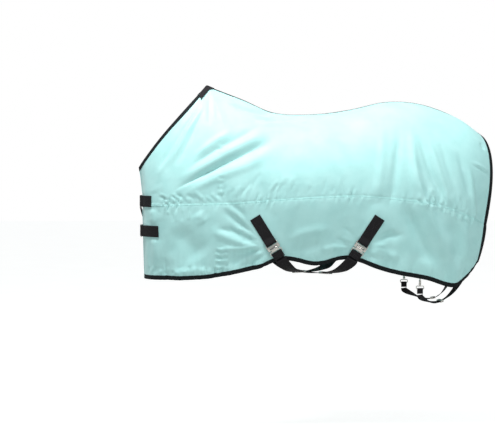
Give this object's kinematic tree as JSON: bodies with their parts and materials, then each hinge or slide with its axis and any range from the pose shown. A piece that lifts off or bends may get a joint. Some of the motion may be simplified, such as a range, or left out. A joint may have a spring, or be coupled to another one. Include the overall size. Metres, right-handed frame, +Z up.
{
  "type": "turnout rug",
  "caption": "Light horse sheet with bound edges, clip-fastened chest straps, crossed belly straps and leg straps, shaped as worn.",
  "frame": {"origin": "underside of the sheet on the spine at the lowest point of the back, where it rests on the horse", "axes": "+X towards the tail, +Y to the off (right) side, +Z up"},
  "size_m": [1.5826, 0.6036, 0.9825],
  "materials": {
    "mint_polyester": "plain-woven polyester with a soft sheen",
    "black_binding": "woven binding tape, matt",
    "black_webbing": "woven polypropylene webbing, matt",
    "nickel_plate": "nickel-plated pressed steel and cast zinc"
  },
  "bodies": {
    "sheet": {"front_belly_anchor": "black_webbing", "front_belly_plate": "nickel_plate", "front_belly_stay": "black_webbing", "front_belly_strap": "black_webbing", "lower_chest_plate": "nickel_plate", "lower_chest_stay": "black_webbing", "lower_chest_strap": "black_webbing", "near_hem_binding": "black_binding", "near_leg_keeper": "black_webbing", "near_leg_strap": "black_webbing", "near_lower_panel": "mint_polyester", "near_neck_binding": "black_binding", "near_rear_binding": "black_binding", "near_upper_panel": "mint_polyester", "off_hem_binding": "black_binding", "off_leg_keeper": "black_webbing", "off_leg_strap": "black_webbing", "off_lower_panel": "mint_polyester", "off_neck_binding": "black_binding", "off_rear_binding": "black_binding", "off_upper_panel": "mint_polyester", "rear_belly_anchor": "black_webbing", "rear_belly_plate": "nickel_plate", "rear_belly_stay": "black_webbing", "rear_belly_strap": "black_webbing", "spine_binding": "black_binding", "upper_chest_plate": "nickel_plate", "upper_chest_stay": "black_webbing", "upper_chest_strap": "black_webbing", "wither_patch": "black_webbing"},
    "front_belly_hook_end": {"front_belly_hook": "nickel_plate", "front_belly_strap_end": "black_webbing"},
    "rear_belly_hook_end": {"rear_belly_hook": "nickel_plate", "rear_belly_strap_end": "black_webbing"},
    "upper_chest_hook_end": {"upper_chest_hook": "nickel_plate", "upper_chest_strap_end": "black_webbing"},
    "lower_chest_hook_end": {"lower_chest_hook": "nickel_plate", "lower_chest_strap_end": "black_webbing"},
    "front_belly_slider_body": {"front_belly_slider": "nickel_plate"},
    "rear_belly_slider_body": {"rear_belly_slider": "nickel_plate"},
    "lower_chest_slider_body": {"lower_chest_slider": "nickel_plate"},
    "upper_chest_slider_body": {"upper_chest_slider": "nickel_plate"},
    "near_leg_slider_body": {"near_leg_slider": "nickel_plate"},
    "off_leg_slider_body": {"off_leg_slider": "nickel_plate"},
    "near_leg_clip": {"near_leg_ring": "nickel_plate", "near_leg_snap": "nickel_plate", "near_leg_eye": "nickel_plate", "near_leg_strap_end": "black_webbing"},
    "near_leg_bolt_body": {"near_leg_bolt": "nickel_plate"},
    "off_leg_clip": {"off_leg_ring": "nickel_plate", "off_leg_snap": "nickel_plate", "off_leg_eye": "nickel_plate", "off_leg_strap_end": "black_webbing"},
    "off_leg_bolt_body": {"off_leg_bolt": "nickel_plate"}
  },
  "joints": [
    {"name": "front_belly_hook_push", "type": "slide", "parent": "sheet", "child": "front_belly_hook_end", "axis": [-0.5282, -0.1287, 0.8393], "range_m": [0, 0.0038]},
    {"name": "rear_belly_hook_push", "type": "slide", "parent": "sheet", "child": "rear_belly_hook_end", "axis": [0.5374, -0.1433, 0.8311], "range_m": [0, 0.0038]},
    {"name": "upper_chest_hook_push", "type": "slide", "parent": "sheet", "child": "upper_chest_hook_end", "axis": [0, -1, 0], "range_m": [0, 0.0038]},
    {"name": "lower_chest_hook_push", "type": "slide", "parent": "sheet", "child": "lower_chest_hook_end", "axis": [0, -1, 0], "range_m": [0, 0.0038]},
    {"name": "front_belly_slider_slide", "type": "slide", "parent": "sheet", "child": "front_belly_slider_body", "axis": [0.445, 0.8925, -0.0737], "range_m": [-0.006, 0.006]},
    {"name": "rear_belly_slider_slide", "type": "slide", "parent": "sheet", "child": "rear_belly_slider_body", "axis": [-0.445, 0.8925, -0.0737], "range_m": [-0.006, 0.006]},
    {"name": "lower_chest_slider_slide", "type": "slide", "parent": "sheet", "child": "lower_chest_slider_body", "axis": [0.5091, 0.8607, 0.0001], "range_m": [-0.006, 0.006]},
    {"name": "upper_chest_slider_slide", "type": "slide", "parent": "sheet", "child": "upper_chest_slider_body", "axis": [0.4949, 0.8689, 0.0009], "range_m": [-0.006, 0.006]},
    {"name": "near_leg_slider_slide", "type": "slide", "parent": "sheet", "child": "near_leg_slider_body", "axis": [0.8586, 0.4452, 0.2544], "range_m": [-0.006, 0.003]},
    {"name": "off_leg_slider_slide", "type": "slide", "parent": "sheet", "child": "off_leg_slider_body", "axis": [0.8586, -0.4452, 0.2544], "range_m": [-0.006, 0.003]},
    {"name": "near_leg_clip_swing", "type": "hinge", "parent": "sheet", "child": "near_leg_clip", "pos_m": [0.51, -0.24, -0.7], "axis": [1, 0, 0], "range_deg": [-2, 25]},
    {"name": "near_leg_bolt_pull", "type": "slide", "parent": "near_leg_clip", "child": "near_leg_bolt_body", "axis": [0, 0, -1], "range_m": [0, 0.007], "stiffness_N_per_m": 150, "springref_m": -0.004},
    {"name": "off_leg_clip_swing", "type": "hinge", "parent": "sheet", "child": "off_leg_clip", "pos_m": [0.51, 0.24, -0.7], "axis": [-1, 0, 0], "range_deg": [-2, 25]},
    {"name": "off_leg_bolt_pull", "type": "slide", "parent": "off_leg_clip", "child": "off_leg_bolt_body", "axis": [0, 0, -1], "range_m": [0, 0.007], "stiffness_N_per_m": 150, "springref_m": -0.004}
  ]
}
